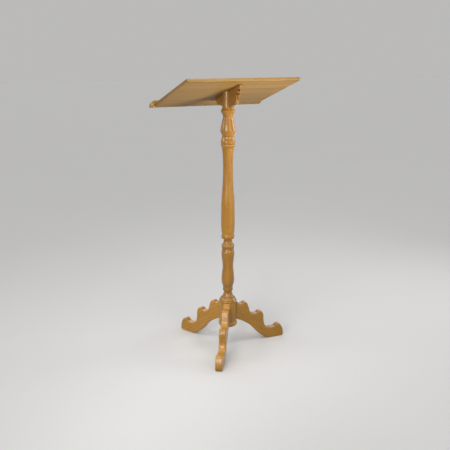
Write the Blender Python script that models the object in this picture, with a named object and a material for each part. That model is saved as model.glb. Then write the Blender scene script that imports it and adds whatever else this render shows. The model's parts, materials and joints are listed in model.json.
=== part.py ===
"""Lectern: a turned column on three sawn legs, with a sloping book desk that turns on the column's head."""
import math

import bmesh
import bpy
from mathutils import Matrix, Vector
from mathutils.geometry import interpolate_bezier

CLEARANCE = 0.0003  # room left all round where two pieces meet
LAP = 0.004  # how far a cutter runs past a face, or a joined-on piece into its body
ARC_STEP = math.radians(15.0)  # turn of a curve from one facet to the next
CURVE_STEP = 0.025  # length of turned curve that earns one more facet
SHARP_ANGLE = math.radians(32.0)
HOLE_SIDES = 16
PIN_SIDES = 12

# The desk, measured along its slope.
DESK_HEIGHT = 1.197  # underside of the board above the floor, on the column's axis
DESK_SLOPE = math.radians(18.0)
DESK_TURN = math.radians(5.5)  # how far the desk stands turned from square with the legs
BOARD_WIDTH = 0.534
BOARD_THICKNESS = 0.013
BOARD_UP = 0.172  # column's axis to the high edge
BOARD_DOWN = 0.208  # column's axis to the low edge
STAVE_COUNT = 5
BOARD_ARRIS = 0.0015
LEDGE_DEPTH = 0.025
LEDGE_HEIGHT = 0.029
LEDGE_OVERHANG = 0.019
LEDGE_END_ROUND = 0.026  # radius of its upper corners, seen from the reader's side
LEDGE_EDGE = 0.0025
LEDGE_DOWEL_COUNT = 4

# The head that carries the desk.
HEAD_RADIUS = 0.0265
HEAD_HEIGHT = 0.068  # its foot to the board's underside, on the axis
WING_THICKNESS = 0.017
WING_UP_REACH = 0.122
WING_DOWN_REACH = 0.115
WING_EDGE = 0.0012
WING_LIFT = 0.002  # over the head's foot, at the wing's root

# The column.
BLANK_RADIUS = 0.0345  # the turning blank that the column's radii are shares of
NECK_HEIGHT = 0.5287  # where the upper column stands on the lower
DRUM_TOP = 0.222
DRUM_BOTTOM = 0.124
DRUM_RADIUS = 0.0405
CAP_THICKNESS = 0.0245
CAP_RADIUS = 0.0442
CAP_FLAT_RADIUS = 0.030  # flat of its underside
CAP_SHOULDER = math.radians(34.0)  # arc of its side, from belly to drum
TENON_RADIUS = 0.011
TENON_LENGTH = 0.045
SPIGOT_LENGTH = 0.036
COLUMN_SIDES = 24

# The legs.
LEG_COUNT = 3
LEG_FIRST_ANGLE = math.radians(60.0)
LEG_REACH = 0.293
LEG_THICKNESS = 0.032
LEG_EDGE = 0.004
LEG_SPARE = 0.012  # blank left past the root until its edges are rounded
LEG_LIFT = 0.004  # over the drum's foot, at the leg's root
TONGUE_DEPTH = 0.012
TONGUE_MOUTH = 0.006  # half its width at the shoulder
TONGUE_ROOT = 0.0085  # half its width at the back
TONGUE_STOP = 0.017  # drum left whole above the tongue

# Dowels and screws.
DOWEL_RADIUS = 0.004
WING_DOWEL_SHARES = (0.25, 0.68)  # of the height of the flat the wing stands on
WING_DOWEL_IN_HEAD = 0.010
WING_DOWEL_IN_WING = 0.014
LEDGE_DOWEL_RADIUS = 0.003
LEDGE_DOWEL_HALF = 0.015
SCREW_RADIUS = 0.002
SCREW_HEAD_RADIUS = 0.004
SCREW_HEAD_HEIGHT = 0.0028
SCREW_GRIP = 0.012  # wood held under the head
SCREW_BITE = 0.010  # wood bitten past the joint
SCREW_UP_PLACE = 0.078  # column's axis to the screw, up the slope
SCREW_DOWN_PLACE = 0.066  # and down the slope
CAP_SCREW_BITE = 0.020

# Turning stations: thousandths of the turned length, hundredths of the blank, 1 where a corner is cut.
LOWER_TURNING = (
    (0, 114, 1), (5, 116, 1), (18, 122), (30, 117, 1), (35, 112, 1), (39, 113, 1), (59, 103), (78, 88, 1),
    (82, 80, 1), (111, 67), (152, 57), (174, 61), (187, 66, 1), (190, 70, 1), (202, 70, 1), (206, 67, 1),
    (240, 67), (270, 74), (303, 83), (365, 88), (450, 82), (575, 73), (680, 81), (772, 88), (815, 84),
    (842, 77, 1), (849, 75, 1), (852, 82, 1), (870, 83, 1), (876, 80, 1), (882, 84, 1), (897, 87), (916, 82),
    (929, 74), (944, 64), (965, 59), (1000, 56, 1),
)
UPPER_TURNING = (
    (0, 62, 1), (7, 79), (13, 87), (18, 88, 1), (20, 84, 1), (22, 88, 1), (32, 86), (45, 83), (66, 88),
    (120, 92), (270, 90), (345, 83), (440, 71), (550, 66), (650, 70), (711, 80, 1), (714, 85, 1), (722, 91),
    (730, 93), (737, 91, 1), (740, 88, 1), (743, 92, 1), (755, 97), (763, 95), (773, 88), (785, 82),
    (795, 80, 1), (799, 76, 1), (803, 80, 1), (815, 90), (825, 97), (835, 100), (858, 95), (880, 88),
    (910, 76), (938, 66), (952, 71, 1), (956, 75, 1), (966, 86), (976, 92), (986, 88), (993, 80), (1000, 77, 1),
)

# Leg outline: share of the reach, share of the height, degrees of the way that the saw runs there.
LEG_OUTLINE = (
    (0.212, 0.904, 0), (0.253, 0.918, 36), (0.294, 0.934, -8), (0.334, 0.880, -66), (0.365, 0.758, -76),
    (0.399, 0.663, -42), (0.461, 0.629, 0), (0.522, 0.650, 40), (0.567, 0.672, -5), (0.614, 0.618, -62),
    (0.628, 0.528, -90), (0.638, 0.379, -78), (0.689, 0.271, -32), (0.765, 0.241, 0), (0.853, 0.262, 38),
    (0.908, 0.300, -6), (0.973, 0.217, -66), (1.000, 0.063, -90), (0.969, 0.000, 180), (0.744, 0.000, 180),
    (0.601, 0.086, 143), (0.444, 0.293, 129), (0.290, 0.469, 148),
)
LEG_TOP_WAY = math.radians(-42.0)  # the saw's way where it leaves the drum
LEG_FOOT_WAY = math.radians(163.0)  # and where it comes back to it
SAW_BEND = 0.37  # share of the way to the next point that the saw's pull reaches

# Wing corners past the tip: share of the reach, share of the head's height, degrees of the arc after it.
WING_UP_OUTLINE = (
    (0.87, 1.29, -168), (0.80, 1.17, 140), (0.78, 1.04, -168), (0.75, 0.90, 14), (0.67, 0.29, -27),
)
WING_DOWN_OUTLINE = ((0.91, 0.36, -155), (0.87, 0.13, -18))
WING_TIP_ARC = math.radians(87.0)

COLUMN_TOP = DESK_HEIGHT - HEAD_HEIGHT
CAP_BOTTOM = DRUM_BOTTOM - CLEARANCE - CAP_THICKNESS
DRUM_FLAT = math.sqrt(DRUM_RADIUS ** 2 - (LEG_THICKNESS / 2 + CLEARANCE) ** 2)
HEAD_FLAT = math.sqrt(HEAD_RADIUS ** 2 - (WING_THICKNESS / 2 + CLEARANCE) ** 2)
WING_ROOT = HEAD_FLAT + CLEARANCE
STAVE_PITCH = (BOARD_UP + BOARD_DOWN) / STAVE_COUNT
SLOPE = Matrix.Translation((0, 0, HEAD_HEIGHT)) @ Matrix.Rotation(DESK_SLOPE, 4, "X")
ALONG_Y = Matrix.Rotation(math.radians(-90), 4, "X")


def arc(start, end, sweep):
    """Points after start on an arc to end that turns through sweep; a positive one bulges to the left."""
    dx, dy = end[0] - start[0], end[1] - start[1]
    half = sweep / 2
    if not half:
        return [end]
    radius = 1 / (2 * math.sin(half))
    steps = max(2, round(abs(sweep) / ARC_STEP))
    points = []
    for step in range(1, steps + 1):
        angle = half * (2 * step / steps - 1)
        ahead = 1 / 2 + radius * math.sin(angle)
        aside = radius * (math.cos(angle) - math.cos(half))
        points.append((start[0] + dx * ahead - dy * aside, start[1] + dy * ahead + dx * aside))
    return points


def outline(corners):
    """Closed outline through corners (y, z, sweep of the arc after it), run with its outside on the left."""
    path = []
    for here, there in zip(corners, corners[1:] + corners[:1]):
        path.extend(arc(here[:2], there[:2], here[2]))
    return path


def scrolled(marks):
    """Outline through marks (y, z, way the saw runs there), closed by a straight line to the first."""
    path = [marks[0][:2]]
    for (y, z, leave), (next_y, next_z, arrive) in zip(marks, marks[1:]):
        start, end = Vector((y, z)), Vector((next_y, next_z))
        chord = math.atan2(next_z - z, next_y - y)
        turn = sum(abs(math.remainder(way - chord, math.tau)) for way in (leave, arrive))
        pull = SAW_BEND * (end - start).length
        ahead = start + pull * Vector((math.cos(leave), math.sin(leave)))
        back = end - pull * Vector((math.cos(arrive), math.sin(arrive)))
        steps = max(1, round(turn / ARC_STEP))
        path.extend(tuple(p) for p in interpolate_bezier(start, ahead, back, end, steps + 1)[1:])
    return path


def rounded(corners):
    """Closed outline through square corners (y, z, radius), each rounded by its radius."""
    path = []
    for before, here, after in zip(corners[-1:] + corners[:-1], corners, corners[1:] + corners[:1]):
        spot, radius = here[:2], here[2]
        ends = [step_towards(spot, other[:2], radius) for other in (before, after)]
        path.extend([ends[0]] + arc(*ends, math.radians(90)) if radius else [spot])
    return path


def step_towards(start, end, distance):
    """The point that lies a distance from start on the way to end."""
    share = distance / math.dist(start, end)
    return tuple(a + (b - a) * share for a, b in zip(start, end))


def inset(path, distance):
    """The outline moved inwards, square to its edges."""
    moved = []
    for before, here, after in zip(path[-1:] + path[:-1], path, path[1:] + path[:1]):
        a = math.atan2(here[1] - before[1], here[0] - before[0])
        b = math.atan2(after[1] - here[1], after[0] - here[0])
        turn = math.remainder(b - a, math.tau) / 2
        shift = distance / max(0.6, math.cos(turn))
        moved.append((here[0] + shift * math.sin(a + turn), here[1] - shift * math.cos(a + turn)))
    return moved


def smooth_slopes(stations):
    """Slope at every station, so that the curve through them never overshoots one."""
    secants = [(b[1] - a[1]) / (b[0] - a[0]) for a, b in zip(stations, stations[1:])]
    slopes = []
    for left, right in zip(secants, secants[1:]):
        slopes.append(2 * left * right / (left + right) if left * right > 0 else 0.0)
    return secants[:1] + slopes + secants[-1:]


def turned(stations, bottom, top):
    """Profile (radius, height) of a turning through its stations."""
    length = (top - bottom) / 1000
    points = [(bottom + s[0] * length, s[1] * BLANK_RADIUS / 100) for s in stations]
    corners = [i for i, s in enumerate(stations) if len(s) > 2]
    profile = [(points[0][1], points[0][0])]
    for first, last in zip(corners, corners[1:]):
        run = points[first:last + 1]
        slopes = smooth_slopes(run)
        for i in range(len(run) - 1):
            profile.extend(curve_steps(run[i], run[i + 1], slopes[i], slopes[i + 1]))
    return profile


def curve_steps(start, end, leave, arrive):
    """Profile points after start on a cubic from start to end with the given slopes."""
    span = end[0] - start[0]
    straight = abs(leave - arrive) < 1e-9
    steps = 1 if straight else min(4, 2 + int(span / CURVE_STEP))
    points = []
    for step in range(1, steps + 1):
        t = step / steps
        rise = (1 + 2 * t) * (1 - t) ** 2 * start[1] + t * t * (3 - 2 * t) * end[1]
        lean = t * (1 - t) ** 2 * leave - t * t * (1 - t) * arrive
        points.append((rise + span * lean, start[0] + t * span))
    return points


def add_lathe(mesh, profile, sides, matrix=Matrix(), ring=False):
    """Turns a profile (radius, height) round local Z into the mesh; a ring's profile closes on itself."""
    rings = []
    for radius, height in profile:
        count = sides if radius > 0 else 1
        angles = [math.tau * i / sides for i in range(count)]
        spots = [(radius * math.cos(a), radius * math.sin(a), height) for a in angles]
        rings.append([mesh.verts.new(matrix @ Vector(spot)) for spot in spots])
    pairs = list(zip(rings, rings[1:] + rings[:1]))
    for low, high in pairs if ring else pairs[:-1]:
        for i in range(sides):
            j = (i + 1) % sides
            face = [low[i % len(low)], low[j % len(low)], high[j % len(high)], high[i % len(high)]]
            mesh.faces.new(list(dict.fromkeys(face)))


def add_slab(mesh, path, width, edge, matrix=Matrix()):
    """An outline in Y and Z given a width along X, its edges rounded."""
    cut = edge * (1 - math.sqrt(0.5))
    half = width / 2
    layers = [(half, edge), (half - cut, cut), (half - edge, 0.0)] if edge else [(half, 0.0)]
    layers = [(-x, drop) for x, drop in layers] + [(x, drop) for x, drop in reversed(layers)]
    rings = []
    for x, drop in layers:
        rings.append([mesh.verts.new(matrix @ Vector((x, y, z))) for y, z in inset(path, drop)])
    for low, high in zip(rings, rings[1:]):
        for i in range(len(path)):
            mesh.faces.new((low[i - 1], low[i], high[i], high[i - 1]))
    mesh.faces.new(rings[0])
    mesh.faces.new(rings[-1])


def finish(name, mesh, material, parent=None, matrix=Matrix()):
    """Makes the mesh a named object with its material, placed in its parent."""
    bmesh.ops.recalc_face_normals(mesh, faces=mesh.faces)
    data = bpy.data.meshes.new(name)
    mesh.to_mesh(data)
    mesh.free()
    data.shade_smooth()
    data.set_sharp_from_angle(angle=SHARP_ANGLE)
    data.materials.append(material)
    piece = bpy.data.objects.new(name, data)
    bpy.context.scene.collection.objects.link(piece)
    piece.parent = parent
    piece.matrix_basis = matrix
    return piece


def lathe(name, profile, sides, material, parent=None, matrix=Matrix(), ring=False):
    mesh = bmesh.new()
    add_lathe(mesh, profile, sides, ring=ring)
    return finish(name, mesh, material, parent, matrix)


def slab(name, path, width, edge, material, parent=None, matrix=Matrix(), turn=Matrix()):
    mesh = bmesh.new()
    add_slab(mesh, path, width, edge, turn)
    return finish(name, mesh, material, parent, matrix)


def work(piece, tool, operation="DIFFERENCE"):
    """Cuts the tool out of the piece, or joins it on, and hides the tool."""
    change = piece.modifiers.new(tool.name, "BOOLEAN")
    change.operation = operation
    change.solver = "EXACT"
    change.object = tool
    tool.hide_render = True
    tool.display_type = "WIRE"


def drill(piece, holes, material):
    """Cuts turned holes, each a profile and where it stands, out of the piece."""
    mesh = bmesh.new()
    for profile, matrix in holes:
        add_lathe(mesh, profile, HOLE_SIDES, matrix)
    work(piece, finish(piece.name + "_holes", mesh, material, piece.parent, piece.matrix_basis))


def pin(radius, start, end):
    """Profile of a plain pin or hole."""
    return [(0, start), (radius, start), (radius, end), (0, end)]


def dowel(radius, start, end):
    """Profile of a dowel with its ends eased."""
    ease = radius / 4
    flank = [(radius - ease, start), (radius, start + ease), (radius, end - ease), (radius - ease, end)]
    return [(0, start)] + flank + [(0, end)]


def screw(seat, tip):
    """Profile of a countersunk screw standing head down, its head's wide end at seat."""
    neck = seat + SCREW_HEAD_HEIGHT
    point = tip - 2 * SCREW_RADIUS
    flank = [(SCREW_HEAD_RADIUS, seat), (SCREW_RADIUS, neck), (SCREW_RADIUS, point)]
    return [(0, seat)] + flank + [(SCREW_RADIUS / 4, tip), (0, tip)]


def material(name, colour, roughness, metallic=0.0):
    made = bpy.data.materials.new(name)
    made.use_nodes = True
    surface = made.node_tree.nodes["Principled BSDF"]
    surface.inputs["Base Color"].default_value = (*colour, 1.0)
    surface.inputs["Roughness"].default_value = roughness
    surface.inputs["Metallic"].default_value = metallic
    return made


def column_lower(wood):
    """Drum and lower vase, with the tenon's socket, the cap screw's pilot hole and the legs' dovetails."""
    pilot = SCREW_RADIUS + CLEARANCE
    socket = TENON_RADIUS + CLEARANCE
    depth = NECK_HEIGHT - TENON_LENGTH - CLEARANCE
    foot = pin(pilot, DRUM_BOTTOM + CAP_SCREW_BITE, DRUM_BOTTOM)[:3] + [(DRUM_RADIUS, DRUM_BOTTOM)]
    drum = [(DRUM_RADIUS, DRUM_TOP)]
    head = pin(socket, NECK_HEIGHT, depth)[1:]
    profile = foot + drum + turned(LOWER_TURNING, DRUM_TOP, NECK_HEIGHT) + head
    piece = lathe("column_lower", profile, COLUMN_SIDES, wood)
    flats = bmesh.new()
    slots = bmesh.new()
    for i in range(LEG_COUNT):
        turn = leg_turn(i)
        wide = LEG_THICKNESS / 2 + CLEARANCE
        plan = ((-wide, DRUM_FLAT), (wide, DRUM_FLAT), (wide, 2 * DRUM_RADIUS), (-wide, 2 * DRUM_RADIUS))
        add_prism(flats, plan, DRUM_BOTTOM - LAP, DRUM_TOP, turn)
        back = DRUM_FLAT - TONGUE_DEPTH - CLEARANCE
        plan = dovetail(back, DRUM_FLAT + LAP, CLEARANCE)
        add_prism(slots, plan, DRUM_BOTTOM - LAP, DRUM_TOP - TONGUE_STOP, turn)
    work(piece, finish("column_lower_flats", flats, wood))
    work(piece, finish("column_lower_slots", slots, wood))


def dovetail(back, front, room):
    """Plan of a dovetail that widens from the drum's flat towards the column's axis."""
    spread = (TONGUE_ROOT - TONGUE_MOUTH) / TONGUE_DEPTH
    near = TONGUE_MOUTH + room - spread * (front - DRUM_FLAT)
    far = TONGUE_MOUTH + room + spread * (DRUM_FLAT - back)
    return ((-far, back), (far, back), (near, front), (-near, front))


def add_prism(mesh, plan, bottom, top, matrix=Matrix()):
    """An upright prism on a plan outline in X and Y."""
    rings = []
    for height in (bottom, top):
        rings.append([mesh.verts.new(matrix @ Vector((x, y, height))) for x, y in plan])
    for i in range(len(plan)):
        mesh.faces.new((rings[0][i - 1], rings[0][i], rings[1][i], rings[1][i - 1]))
    mesh.faces.new(rings[0])
    mesh.faces.new(rings[1])


def column_upper(wood):
    """Shaft and upper vase, with a tenon below and the spigot that the head turns on above."""
    foot = NECK_HEIGHT + CLEARANCE
    tenon = dowel(TENON_RADIUS, NECK_HEIGHT - TENON_LENGTH, foot)[:3] + [(TENON_RADIUS, foot)]
    spigot = [(TENON_RADIUS, COLUMN_TOP)] + dowel(TENON_RADIUS, COLUMN_TOP, COLUMN_TOP + SPIGOT_LENGTH)[3:]
    profile = tenon + turned(UPPER_TURNING, foot, COLUMN_TOP) + spigot
    lathe("column_upper", profile, COLUMN_SIDES, wood)


def base_cap(wood, steel):
    """Turned cap that closes the dovetails under the drum, and the screw that holds it."""
    hole = SCREW_RADIUS + CLEARANCE
    sink = SCREW_HEAD_RADIUS + CLEARANCE
    top = DRUM_BOTTOM - CLEARANCE
    seat = CAP_BOTTOM + SCREW_HEAD_HEIGHT
    belly = CAP_BOTTOM + CAP_THICKNESS / 2
    flat = (CAP_FLAT_RADIUS, CAP_BOTTOM)
    under = [flat] + arc(flat, (CAP_RADIUS, belly), -math.radians(90))
    shoulder = arc((CAP_RADIUS, belly), (DRUM_RADIUS, top), -CAP_SHOULDER)
    profile = [(hole, top), (hole, seat), (sink, CAP_BOTTOM)] + under + shoulder
    lathe("base_cap", profile, COLUMN_SIDES, wood, ring=True)
    lathe("cap_screw", screw(CAP_BOTTOM, DRUM_BOTTOM + CAP_SCREW_BITE - CLEARANCE), PIN_SIDES, steel)


def leg_turn(index):
    """Turn that brings local +Y out along a leg."""
    angle = LEG_FIRST_ANGLE + math.tau * index / LEG_COUNT - math.radians(90)
    return Matrix.Rotation(angle, 4, "Z")


def leg(name, index, wood):
    """Sawn leg, cut square at its root once its edges are rounded, with the dovetail tongue for the drum."""
    root = DRUM_FLAT + CLEARANCE
    top = DRUM_TOP - CLEARANCE
    bottom = DRUM_BOTTOM + LEG_LIFT
    turn = leg_turn(index)
    sawn = [(u * LEG_REACH, v * top, math.radians(way)) for u, v, way in LEG_OUTLINE]
    ends = [(root, top, LEG_TOP_WAY), (root, bottom, LEG_FOOT_WAY)]
    spare = [(y - LEG_SPARE, z - LEG_SPARE * math.tan(way), way) for y, z, way in ends]
    path = scrolled([spare[0], ends[0]] + sawn + [ends[1], spare[1]])
    piece = slab(name, path, LEG_THICKNESS, LEG_EDGE, wood, matrix=turn)
    waste = bmesh.new()
    wide, back = LEG_THICKNESS, root - 2 * LEG_SPARE
    add_prism(waste, ((-wide, back), (wide, back), (wide, root), (-wide, root)), 0.0, 2 * top)
    work(piece, finish(name + "_waste", waste, wood, matrix=turn))
    tongue = bmesh.new()
    plan = dovetail(DRUM_FLAT - TONGUE_DEPTH, root + LAP, 0.0)
    add_prism(tongue, plan, bottom, DRUM_TOP - TONGUE_STOP - CLEARANCE)
    work(piece, finish(name + "_tongue", tongue, wood, matrix=turn), "UNION")


def under_board(y):
    """Height of the board's underside over the head's foot, less the room left under it."""
    return HEAD_HEIGHT + y * math.tan(DESK_SLOPE) - CLEARANCE / math.cos(DESK_SLOPE)


def head_block(swivel, wood):
    """Round block that turns on the spigot: its top cut to the slope, flats planed for the wings."""
    wide = WING_THICKNESS / 2 + CLEARANCE
    round_side = -2 * math.asin(HEAD_FLAT / HEAD_RADIUS)
    flat_ends = [(-wide, HEAD_FLAT, round_side), (-wide, -HEAD_FLAT, 0.0)]
    plan = outline(flat_ends + [(wide, -HEAD_FLAT, round_side), (wide, HEAD_FLAT, 0.0)])
    mesh = bmesh.new()
    low = [mesh.verts.new((x, y, CLEARANCE)) for x, y in plan]
    high = [mesh.verts.new((x, y, under_board(y))) for x, y in plan]
    for i in range(len(plan)):
        mesh.faces.new((low[i - 1], low[i], high[i], high[i - 1]))
    mesh.faces.new(low)
    mesh.faces.new(high)
    piece = finish("head_block", mesh, wood, swivel)
    holes = [(pin(TENON_RADIUS + CLEARANCE, -LAP, SPIGOT_LENGTH + CLEARANCE), Matrix())]
    for side in (1, -1):
        for height in wing_dowel_heights(side):
            holes.append(wing_dowel_hole(side, height))
    drill(piece, holes, wood)


def wing_dowel_heights(side):
    """Heights of a wing's two dowels, shared out over the height of the flat it stands on."""
    tall = under_board(side * HEAD_FLAT)
    return [share * tall for share in WING_DOWEL_SHARES]


def wing_dowel_place(side, height):
    """Stands local Z out along a wing, its foot on the head's flat."""
    turn = Matrix.Rotation(math.radians(0 if side > 0 else 180), 4, "Z")
    return Matrix.Translation((0, 0, height)) @ turn @ Matrix.Translation((0, WING_ROOT, 0)) @ ALONG_Y


def wing_dowel_hole(side, height):
    ends = (-WING_DOWEL_IN_HEAD - CLEARANCE, WING_DOWEL_IN_WING + CLEARANCE)
    return pin(DOWEL_RADIUS + CLEARANCE, *ends), wing_dowel_place(side, height)


def screw_place(side):
    """Stands local Z square to the board, its foot on the board's underside."""
    along = SCREW_UP_PLACE if side > 0 else -SCREW_DOWN_PLACE
    return SLOPE @ Matrix.Translation((0, along, 0))


def screw_hole():
    """Profile of a wing's screw hole, counterbored from below."""
    wide = SCREW_HEAD_RADIUS + CLEARANCE
    narrow = SCREW_RADIUS + CLEARANCE
    seat = -SCREW_GRIP + SCREW_HEAD_HEIGHT
    flank = [(wide, -2 * HEAD_HEIGHT), (wide, -SCREW_GRIP), (narrow, seat), (narrow, LAP)]
    return [(0, -2 * HEAD_HEIGHT)] + flank + [(0, LAP)]


def wing(name, side, reach, corners, swivel, wood):
    """Sawn bracket between the head and the board, up the slope (side 1) or down it (side -1)."""
    tip = (reach, under_board(side * reach), WING_TIP_ARC)
    top = (WING_ROOT, under_board(side * WING_ROOT), 0.0)
    foot = (WING_ROOT, WING_LIFT, 0.0)
    sawn = [(u * reach, v * HEAD_HEIGHT, math.radians(turn)) for u, v, turn in corners]
    path = outline([top, tip] + sawn + [foot])
    if side < 0:
        path = [(-y, z) for y, z in reversed(path)]
    piece = slab(name, path, WING_THICKNESS, WING_EDGE, wood, swivel)
    holes = [wing_dowel_hole(side, height) for height in wing_dowel_heights(side)]
    drill(piece, holes + [(screw_hole(), screw_place(side))], wood)


def wing_fixings(swivel, pegwood, steel):
    """Dowels from the head into the wings and the screws from the wings into the board."""
    count = 0
    ends = (-WING_DOWEL_IN_HEAD, WING_DOWEL_IN_WING)
    for side in (1, -1):
        for height in wing_dowel_heights(side):
            count += 1
            peg = dowel(DOWEL_RADIUS, *ends)
            lathe(f"wing_dowel_{count}", peg, PIN_SIDES, pegwood, swivel, wing_dowel_place(side, height))
    for name, side in (("board_screw_high", 1), ("board_screw_low", -1)):
        lathe(name, screw(-SCREW_GRIP, SCREW_BITE), PIN_SIDES, steel, swivel, screw_place(side))


def ledge_dowel_places():
    """Stands local Z down the slope at each dowel between the board and the ledge."""
    places = []
    for i in range(LEDGE_DOWEL_COUNT):
        across = BOARD_WIDTH * ((i + 0.5) / LEDGE_DOWEL_COUNT - 0.5)
        spot = Matrix.Translation((across, -BOARD_DOWN, BOARD_THICKNESS / 2))
        places.append(spot @ Matrix.Rotation(math.radians(90), 4, "X"))
    return places


def ledge_dowel_holes():
    reach = LEDGE_DOWEL_HALF + CLEARANCE
    return [(pin(LEDGE_DOWEL_RADIUS + CLEARANCE, -reach, reach), place) for place in ledge_dowel_places()]


def stave(index, swivel, wood):
    """One stave of the board, counted from the high edge, which has its arrises eased."""
    high = BOARD_UP - index * STAVE_PITCH
    low = high - STAVE_PITCH + CLEARANCE
    ease = BOARD_ARRIS if index == 0 else 0.0
    path = rounded([(low, 0, 0), (low, BOARD_THICKNESS, 0), (high, BOARD_THICKNESS, ease), (high, 0, ease)])
    piece = slab(f"stave_{index + 1}", path, BOARD_WIDTH, 0.0, wood, swivel, SLOPE)
    holes = []
    for place in (SCREW_UP_PLACE, -SCREW_DOWN_PLACE):
        if low < place < high:
            bite = pin(SCREW_RADIUS + CLEARANCE, -LAP, SCREW_BITE + CLEARANCE)
            holes.append((bite, Matrix.Translation((0, place, 0))))
    if index == STAVE_COUNT - 1:
        holes.extend(ledge_dowel_holes())
    if holes:
        drill(piece, holes, wood)


def book_ledge(swivel, wood):
    """Strip along the low edge that stands up to hold a book, its upper corners rounded off."""
    middle = -BOARD_DOWN - CLEARANCE - LEDGE_DEPTH / 2
    half = BOARD_WIDTH / 2 + LEDGE_OVERHANG
    upper = [(side * half, LEDGE_HEIGHT, LEDGE_END_ROUND) for side in (-1, 1)]
    path = rounded([(-half, 0, 0)] + upper + [(half, 0, 0)])
    turn = Matrix.Translation((0, middle, 0)) @ Matrix.Rotation(math.radians(90), 4, "Z")
    piece = slab("book_ledge", path, LEDGE_DEPTH, LEDGE_EDGE, wood, swivel, SLOPE, turn)
    drill(piece, ledge_dowel_holes(), wood)


def ledge_dowels(swivel, pegwood):
    for i, place in enumerate(ledge_dowel_places()):
        peg = dowel(LEDGE_DOWEL_RADIUS, -LEDGE_DOWEL_HALF, LEDGE_DOWEL_HALF)
        lathe(f"ledge_dowel_{i + 1}", peg, PIN_SIDES, pegwood, swivel, SLOPE @ place)


def lectern():
    for old in list(bpy.data.objects):
        bpy.data.objects.remove(old)
    turnery = material("turned_wood", (0.46, 0.22, 0.05), 0.32)
    sawn = material("sawn_wood", (0.42, 0.20, 0.05), 0.35)
    board = material("board_wood", (0.40, 0.24, 0.11), 0.45)
    pegwood = material("dowel_wood", (0.50, 0.34, 0.18), 0.6)
    steel = material("screw_steel", (0.45, 0.43, 0.40), 0.35, 1.0)
    column_lower(turnery)
    column_upper(turnery)
    base_cap(turnery, steel)
    for index, name in enumerate(("leg_front", "leg_left", "leg_back")):
        leg(name, index, sawn)
    swivel = bpy.data.objects.new("desk_swivel", None)
    bpy.context.scene.collection.objects.link(swivel)
    swivel.location = (0, 0, COLUMN_TOP)
    swivel.rotation_euler = (0, 0, DESK_TURN)
    head_block(swivel, turnery)
    wing("wing_high", 1, WING_UP_REACH, WING_UP_OUTLINE, swivel, sawn)
    wing("wing_low", -1, WING_DOWN_REACH, WING_DOWN_OUTLINE, swivel, sawn)
    wing_fixings(swivel, pegwood, steel)
    for index in range(STAVE_COUNT):
        stave(index, swivel, board)
    book_ledge(swivel, board)
    ledge_dowels(swivel, pegwood)


lectern()
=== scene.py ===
"""Looks of the lectern: its pieces cut finer than the solids, in honey-coloured lacquered wood."""
import json
import math

import bmesh
import bpy
import numpy as np
from mathutils import Matrix, Vector
from mathutils.geometry import interpolate_bezier


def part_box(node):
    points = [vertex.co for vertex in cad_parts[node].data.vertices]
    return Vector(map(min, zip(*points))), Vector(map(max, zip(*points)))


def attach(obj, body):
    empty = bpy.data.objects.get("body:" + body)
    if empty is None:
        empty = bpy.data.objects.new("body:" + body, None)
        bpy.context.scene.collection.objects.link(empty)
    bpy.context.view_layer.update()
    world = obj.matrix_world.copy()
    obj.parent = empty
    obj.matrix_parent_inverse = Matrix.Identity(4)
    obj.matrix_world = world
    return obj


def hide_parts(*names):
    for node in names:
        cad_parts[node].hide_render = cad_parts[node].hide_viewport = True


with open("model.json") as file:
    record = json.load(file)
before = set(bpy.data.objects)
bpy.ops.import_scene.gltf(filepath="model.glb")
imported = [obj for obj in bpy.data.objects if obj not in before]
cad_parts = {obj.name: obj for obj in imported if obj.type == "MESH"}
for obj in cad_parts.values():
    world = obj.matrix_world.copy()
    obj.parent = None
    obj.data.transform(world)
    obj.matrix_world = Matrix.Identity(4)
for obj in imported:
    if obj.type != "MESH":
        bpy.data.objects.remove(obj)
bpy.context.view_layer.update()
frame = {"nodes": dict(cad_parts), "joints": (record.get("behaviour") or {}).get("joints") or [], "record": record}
RECORD = frame["record"]

# Sizes that the looks share with the solids, in metres.
CLEARANCE = 0.0003
LAP = 0.004
BLANK_RADIUS = 0.0345
DRUM_RADIUS = 0.0405
CAP_FLAT_RADIUS = 0.030
CAP_SHOULDER = math.radians(34.0)
TENON_RADIUS = 0.011
LEG_REACH = 0.293
LEG_THICKNESS = 0.032
LEG_LIFT = 0.004
LEG_SPARE = 0.012
TONGUE_DEPTH = 0.012
TONGUE_MOUTH = 0.006
TONGUE_ROOT = 0.0085
TONGUE_STOP = 0.017
HEAD_RADIUS = 0.0265
WING_THICKNESS = 0.017
WING_UP_REACH = 0.122
WING_DOWN_REACH = 0.115
WING_LIFT = 0.002
LEDGE_END_ROUND = 0.026
SCREW_RADIUS = 0.002
SCREW_HEAD_HEIGHT = 0.0028

# How the edges are eased by hand, finer than on the solids.
LEG_EASE = 0.0043
WING_EASE = 0.0014
BOARD_EASE = 0.0016
LEDGE_EASE = 0.0025
LEDGE_FOOT_ROUND = 0.0027
GLUE_EASE = 0.0004
STAVE_END_EASE = 0.0003
TURNED_EASE = 0.0004
TURNED_EASE_MOST = 0.45  # share of a short step that its corner's round may take
HAIR = 0.0001  # kept inside the solids all round

# How finely curves are stepped, and which edges stay crisp.
EASE_STEPS = 4
SOFT_POINTS = 7
PROFILE_STEP = 0.0016
ARC_STEP = math.radians(5.0)
SHARP_ANGLE = math.radians(34.0)
MITRE_LEAST = 0.6  # cosine at a corner, below which its mitre grows no longer
TURNED_SIDES = 120
BORE_SIDES = 48
DOWEL_SIDES = 96
DOWEL_RINGS = 6
DOWEL_HOLE_SIDES = 32
SCREW_SIDES = 32
SCREW_HOLE_SIDES = 40
PILOT_SIDES = 24

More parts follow.
